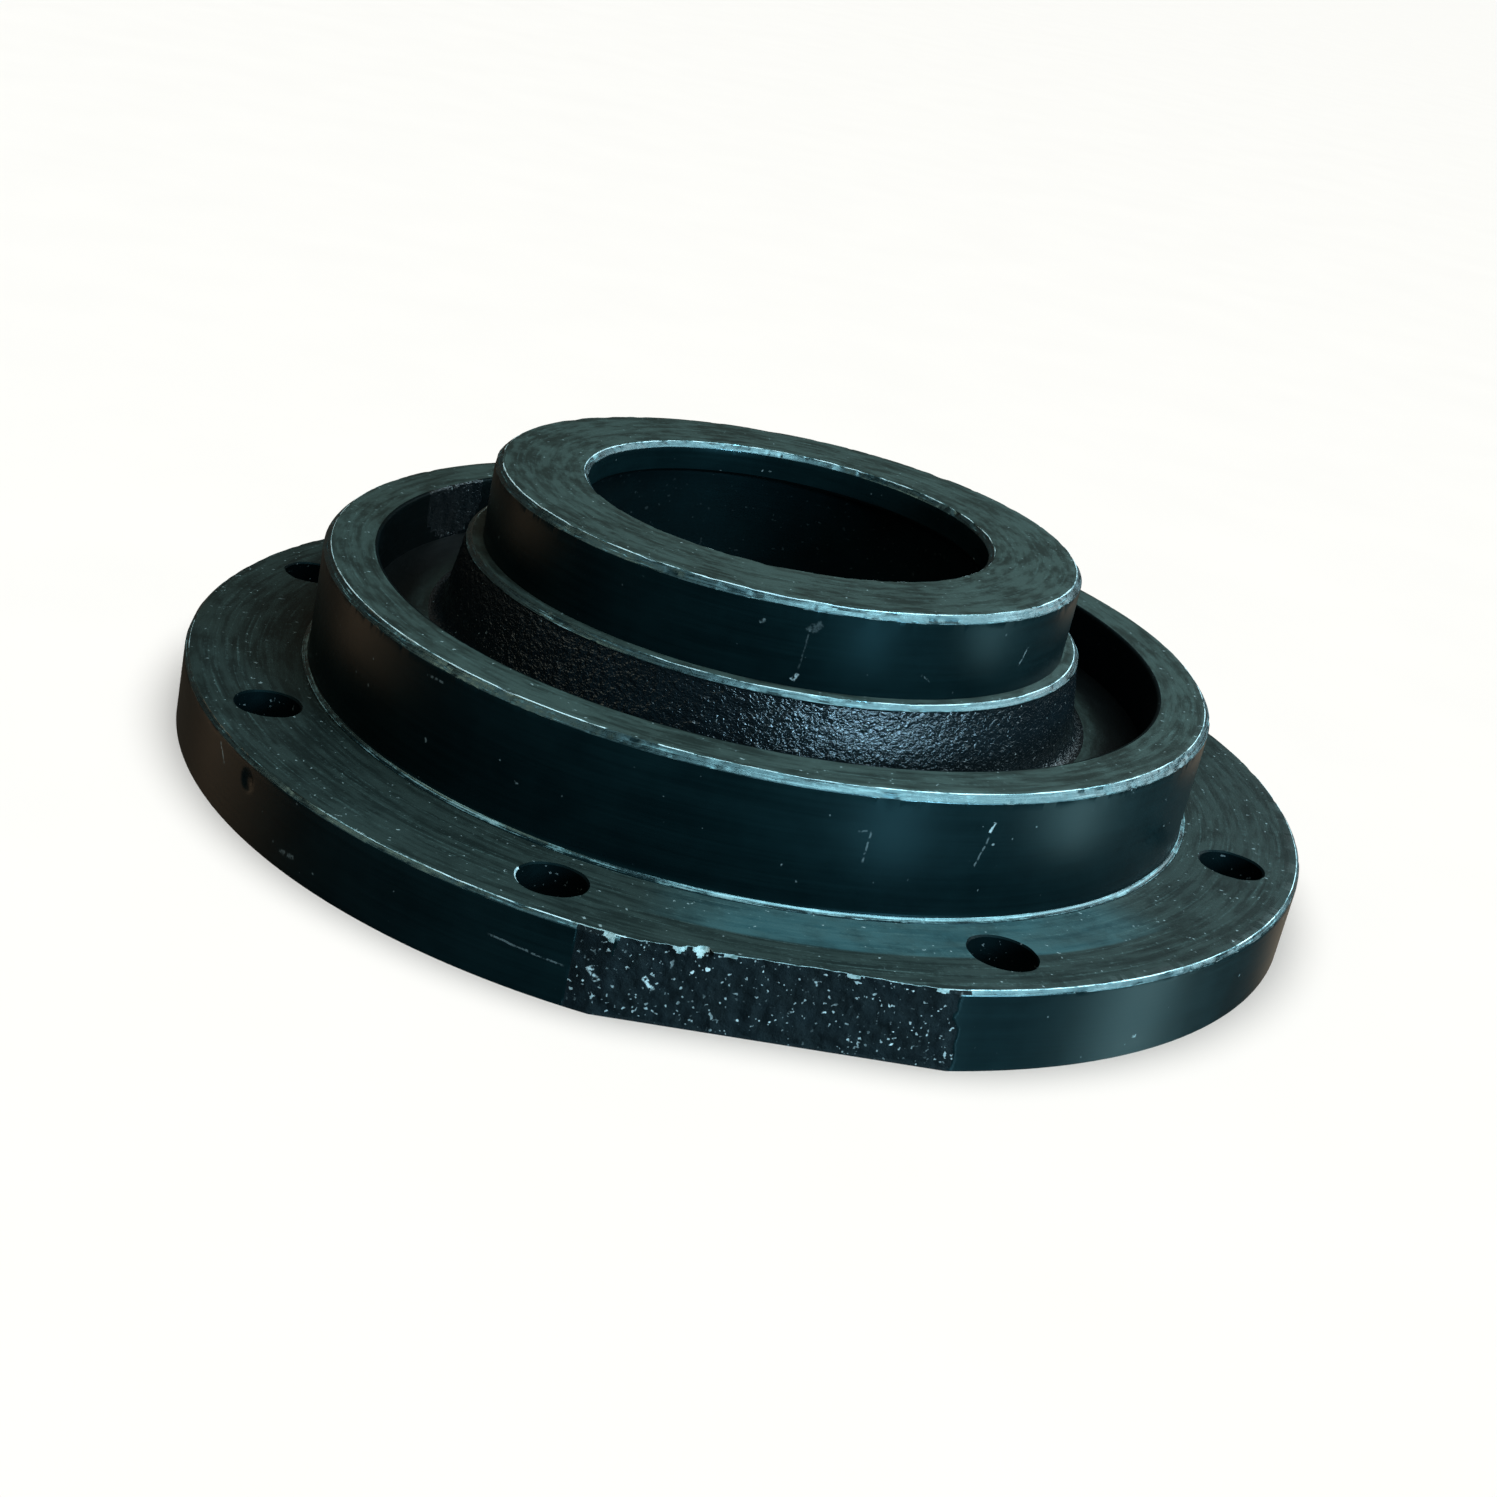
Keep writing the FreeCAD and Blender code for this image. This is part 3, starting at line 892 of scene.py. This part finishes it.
def mark_flat(mesh, skins):
    """Give the faces on the rim flat their own skin, with fresh chips along its top edge."""
    rim = {skins.index(skin) for skin in ("turned_wall", "worn_edge", "edge_line")}
    reach = FLAT_HALF_WIDTH + TORN_PAST_END + 1.0
    for face in mesh.polygons:
        x, y, z = face.center / MM
        if face.material_index in rim and y < 0.0 and abs(x) < reach:
            below = math.hypot(x, y) < PLATE_RADIUS - 0.12 - max(0.0, z - PLATE_TOP + RIM_EDGE)
            if (below and x < FLAT_HALF_WIDTH + 1.0) or flat_end(np.array(x)) > 0.5:
                spot = np.array([[x, 0.0, 0.0]])
                deep = 1.2 * max(0.0, float(grain(spot, 2.4, 87)[0]) - 0.1)
                deep = max(deep, 1.6 - abs(x - BIG_CHIP))
                fresh = z > PLATE_TOP - 0.35 - deep
                face.material_index = skins.index("chipped" if fresh else "flat_skin")


def hole_cutter(number, degrees, skins):
    """A cutter for one bolt hole, which widens at the top to an uneven broken edge."""
    turn = math.radians(degrees)
    centre = np.array([BOLT_CIRCLE * math.cos(turn), BOLT_CIRCLE * math.sin(turn)])
    # the steps are turned a little, so that no corner of a hole falls on a corner of the plate
    around = (np.arange(HOLE_STEPS) + 0.37) * 2.0 * math.pi / HOLE_STEPS
    round_way = np.stack([np.cos(around), np.sin(around)], axis=-1)
    apart = np.full((HOLE_STEPS, 1), number * 50.0)
    spots = np.concatenate([round_way * BOLT_HOLE, apart], axis=1)
    burr = HOLE_EDGE * (1.0 + 0.45 * grain(spots, 2.0, 91))
    bright = grain(spots, 4.5, 93) > (0.0 if number == BURRED_HOLE else 0.55)
    plain = np.zeros(HOLE_STEPS)
    levels = [(-2.0, plain), (PLATE_TOP - HOLE_EDGE, plain), (PLATE_TOP, burr),
              (PLATE_TOP + 2.0, burr)]
    points, faces, index = [], [], []
    for level, (height, flare) in enumerate(levels):
        flat_points = centre + round_way * (BOLT_HOLE + flare)[:, None]
        points += [(x * MM, y * MM, height * MM) for x, y in flat_points.tolist()]
        below = (level - 1) * HOLE_STEPS
        for step in range(HOLE_STEPS if level else 0):
            low, beside = below + step, below + (step + 1) % HOLE_STEPS
            faces.append((low, beside, beside + HOLE_STEPS, low + HOLE_STEPS))
            rim_skin = "edge_line" if bright[step] else "drilled_wall"
            index.append(skins.index(rim_skin if level > 1 else "drilled_wall"))
    faces += [tuple(range(HOLE_STEPS))[::-1],
              tuple(range((len(levels) - 1) * HOLE_STEPS, len(levels) * HOLE_STEPS))]
    index += [skins.index("drilled_wall")] * 2
    tool = bpy.data.meshes.new(f"drill_{number}")
    tool.from_pydata(points, [], faces)
    for skin in skins:
        tool.materials.append(materials[skin])
    tool.polygons.foreach_set("material_index", index)
    cutter = bpy.data.objects.new(f"drill_{number}", tool)
    bpy.context.scene.collection.objects.link(cutter)
    return cutter


def drill(mesh, skins):
    """Cut the bolt holes, and clean away the slivers that the cuts leave."""
    plate = bpy.data.objects.new("plate_blank", mesh)
    bpy.context.scene.collection.objects.link(plate)
    cutters = [hole_cutter(number, degrees, skins) for number, degrees in enumerate(HOLE_ANGLES)]
    for cutter in cutters:
        cut = plate.modifiers.new(cutter.name, "BOOLEAN")
        cut.object = cutter
        cut.operation = "DIFFERENCE"
        cut.solver = "MANIFOLD"
    graph = bpy.context.evaluated_depsgraph_get()
    drilled = bpy.data.meshes.new_from_object(plate.evaluated_get(graph))
    for blank in [*cutters, plate]:
        bpy.data.objects.remove(blank)
    cleaned = bmesh.new()
    cleaned.from_mesh(drilled)
    bmesh.ops.remove_doubles(cleaned, verts=cleaned.verts, dist=0.01 * MM)
    bmesh.ops.dissolve_degenerate(cleaned, edges=cleaned.edges, dist=0.001 * MM)
    cleaned.to_mesh(drilled)
    cleaned.free()
    return drilled


pieces = [make_nose(), make_hub(), make_ring(), make_plate()]


# ---------------------------------------------------------------- floor, light and camera

# in metres and degrees. The object stands to the right of the camera's axis and below it
FLOOR_HALF = 60.0
FLOOR_LIGHT = 3.75
LIGHT_DISTANCE = 1.1
LIGHT_TARGET = 0.03
FAINT_LIGHT = 0.08
BACKDROP = 1.02
CAMERA_AZIMUTH = -4.44
CAMERA_ELEVATION = 21.63
CAMERA_ROLL = 11.23
CAMERA_DISTANCE = 0.5262
OBJECT_RIGHT = 0.02958
OBJECT_DOWN = 0.0127
# the lens and its sensor in millimetres, and the shift as a share of the picture
LENS = 55.47
SENSOR = 36.0
SHIFT = (0.0992, -0.0190)

# name, size, the light that falls on a square metre facing it, tint, azimuth and elevation.
# Those below the floor stand for what is reflected in the table: the window, and the warm room
LIGHTS = [
    ("key", (0.7, 0.7), 4.6, (0.88, 0.98, 1.0), 32.0, 62.0),
    ("side", (0.8, 0.8), 3.7, (0.82, 0.97, 1.0), 86.0, 47.0),
    ("far_side", (0.7, 0.5), 1.2, (0.82, 0.97, 1.0), 118.0, 30.0),
    ("front", (0.13, 0.30), 5.0, (0.62, 0.86, 1.0), 35.0, 15.0),
    ("front_below", (0.13, 0.45), 3.0, (0.62, 0.88, 1.0), 31.0, -19.0),
    ("side_below", (0.22, 0.45), 1.6, (0.55, 0.95, 1.0), 80.0, -19.0),
    ("warm", (0.6, 0.6), 0.8, (1.0, 0.80, 0.56), -78.0, 40.0),
    ("warm_below", (0.3, 0.3), 0.05, (1.0, 0.78, 0.55), 136.0, -17.0),
    ("warm_left", (0.5, 0.3), 0.16, (1.0, 0.66, 0.40), -112.0, -17.0),
]


def make_floor():
    """A plain pale floor, left out of the object's reflections: the photo's table is dark."""
    half = FLOOR_HALF
    mesh = bpy.data.meshes.new("floor")
    mesh.from_pydata([(-half, -half, 0), (half, -half, 0), (half, half, 0), (-half, half, 0)],
                     [], [(0, 1, 2, 3)])
    floor = bpy.data.objects.new("floor", mesh)
    bpy.context.scene.collection.objects.link(floor)
    skin = Shading("pale_floor")
    pale = skin.mix_colour(skin.noise(60.0), colour(0.79, 0.79, 0.78), colour(0.82, 0.82, 0.81))
    mesh.materials.append(skin.done(pale, 0.8, specular=0.1))
    floor.visible_glossy = False
    return floor


def towards(azimuth, elevation):
    """The direction away from the object at an azimuth and elevation in degrees."""
    turn, lift = math.radians(azimuth), math.radians(elevation)
    return Vector((math.sin(turn) * math.cos(lift), -math.cos(turn) * math.cos(lift),
                   math.sin(lift)))


def shine_on(light, things):
    """Put a light in the scene that only lights some objects, and give their collection."""
    bpy.context.scene.collection.objects.link(light)
    lit = bpy.data.collections.new(f"lit_by_{light.name}")
    for thing in things:
        lit.objects.link(thing)
    light.light_linking.receiver_collection = lit
    return lit


def soft_light(name, size, reach, tint, azimuth, elevation):
    """A soft light turned to the object, which only lights the object and which nothing else
    shades."""
    data = bpy.data.lights.new(name, "AREA")
    data.shape = "RECTANGLE"
    data.size, data.size_y = size
    data.energy = reach * math.pi * LIGHT_DISTANCE ** 2
    data.color = tint
    away = towards(azimuth, elevation)
    light = bpy.data.objects.new(name, data)
    light.location = Vector((0.0, 0.0, LIGHT_TARGET)) + away * LIGHT_DISTANCE
    light.rotation_euler = away.to_track_quat("Z", "Y").to_euler()
    light.visible_camera = False
    light.light_linking.blocker_collection = shine_on(light, pieces)


def light_floor(floor):
    """An even, very soft light that only lights the floor."""
    data = bpy.data.lights.new("studio", "SUN")
    data.energy = FLOOR_LIGHT
    data.angle = math.radians(80.0)
    data.color = (1.0, 1.0, 0.985)
    light = bpy.data.objects.new("studio", data)
    light.rotation_euler = (math.radians(6.0), 0.0, 0.0)
    shine_on(light, [floor])


def make_world():
    """Faint light from all round, cool in front and warm behind, and a backdrop as pale as
    the floor."""
    world = bpy.data.worlds.new("studio")
    world.use_nodes = True
    tree = world.node_tree
    faint = tree.nodes["Background"]
    direction = tree.nodes.new("ShaderNodeSeparateXYZ")
    coordinates = tree.nodes.new("ShaderNodeTexCoord")
    tree.links.new(coordinates.outputs["Generated"], direction.inputs[0])
    share = tree.nodes.new("ShaderNodeMapRange")
    share.inputs["From Min"].default_value = -0.4
    share.inputs["From Max"].default_value = 0.4
    tree.links.new(direction.outputs["Y"], share.inputs["Value"])
    tints = tree.nodes.new("ShaderNodeMix")
    tints.data_type = "RGBA"
    tree.links.new(share.outputs["Result"], tints.inputs["Factor"])
    cool, warm = (socket for socket in tints.inputs if socket.type == "RGBA")
    cool.default_value, warm.default_value = colour(0.82, 0.96, 1.0), colour(1.0, 0.86, 0.66)
    tree.links.new(next(socket for socket in tints.outputs if socket.type == "RGBA"),
                   faint.inputs["Color"])
    faint.inputs["Strength"].default_value = FAINT_LIGHT
    backdrop = tree.nodes.new("ShaderNodeBackground")
    backdrop.inputs["Color"].default_value = colour(1.0, 1.0, 0.985)
    backdrop.inputs["Strength"].default_value = BACKDROP
    seen = tree.nodes.new("ShaderNodeLightPath")
    mix = tree.nodes.new("ShaderNodeMixShader")
    tree.links.new(seen.outputs["Is Camera Ray"], mix.inputs["Fac"])
    tree.links.new(faint.outputs["Background"], mix.inputs[1])
    tree.links.new(backdrop.outputs["Background"], mix.inputs[2])
    tree.links.new(mix.outputs["Shader"], tree.nodes["World Output"].inputs["Surface"])
    bpy.context.scene.world = world


def make_camera():
    """The camera: a low view from the flat's side, rolled so that the right side dips."""
    turn, roll = math.radians(CAMERA_AZIMUTH), math.radians(CAMERA_ROLL)
    level = Vector((math.cos(turn), math.sin(turn), 0.0))
    back = towards(CAMERA_AZIMUTH, CAMERA_ELEVATION)
    above = back.cross(level)
    right = level * math.cos(roll) + above * math.sin(roll)
    up = above * math.cos(roll) - level * math.sin(roll)
    data = bpy.data.cameras.new("camera")
    data.lens = LENS
    data.sensor_width = SENSOR
    data.shift_x, data.shift_y = SHIFT
    camera = bpy.data.objects.new("camera", data)
    turned = Matrix((right, up, back)).transposed().to_4x4()
    spot = back * CAMERA_DISTANCE - right * OBJECT_RIGHT + up * OBJECT_DOWN
    camera.matrix_world = Matrix.Translation(spot) @ turned
    bpy.context.scene.collection.objects.link(camera)
    bpy.context.scene.camera = camera


light_floor(make_floor())
for light_values in LIGHTS:
    soft_light(*light_values)
make_world()
make_camera()
bpy.context.scene.view_settings.view_transform = "Standard"
